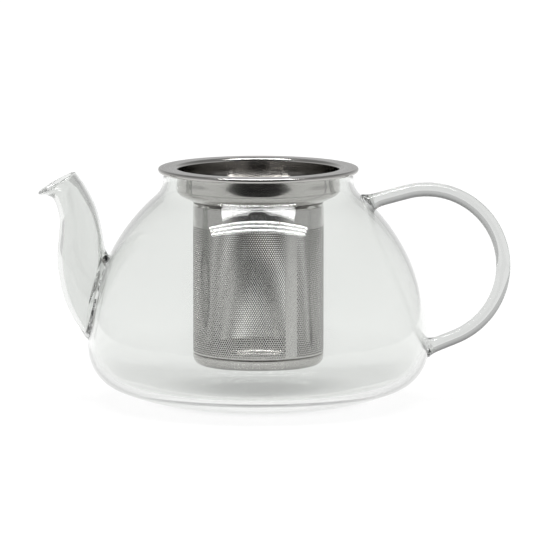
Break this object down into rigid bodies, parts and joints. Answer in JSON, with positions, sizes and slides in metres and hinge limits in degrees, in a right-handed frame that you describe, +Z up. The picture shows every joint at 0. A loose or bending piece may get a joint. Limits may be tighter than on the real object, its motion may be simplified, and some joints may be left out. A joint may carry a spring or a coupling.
{
  "type": "teapot",
  "caption": "Clear glass teapot with a domed bowl, a curved spout, a bent rod handle and a lift-out steel infuser whose flange hangs on the neck.",
  "frame": {"origin": "centre of the flat foot, on the table", "axes": "+Z up along the bowl's axis; +X towards the handle, so the spout points to -X"},
  "size_m": [0.2092, 0.151, 0.1043],
  "materials": {
    "clear_glass": "clear, fire polished",
    "polished_steel": "stainless, satin on the flange and polished on the wall",
    "screen_steel": "stainless sheet with fine etched holes"
  },
  "bodies": {
    "pot": {"pot_body": "clear_glass", "spout": "clear_glass", "handle": "clear_glass"},
    "infuser": {"infuser_collar": "polished_steel", "infuser_screen": "screen_steel", "infuser_base_ring": "polished_steel", "infuser_bottom_screen": "screen_steel"}
  },
  "joints": [
    {"name": "infuser_lift", "type": "slide", "parent": "pot", "child": "infuser", "axis": [0, 0, 1], "range_m": [0, 0.1]}
  ]
}
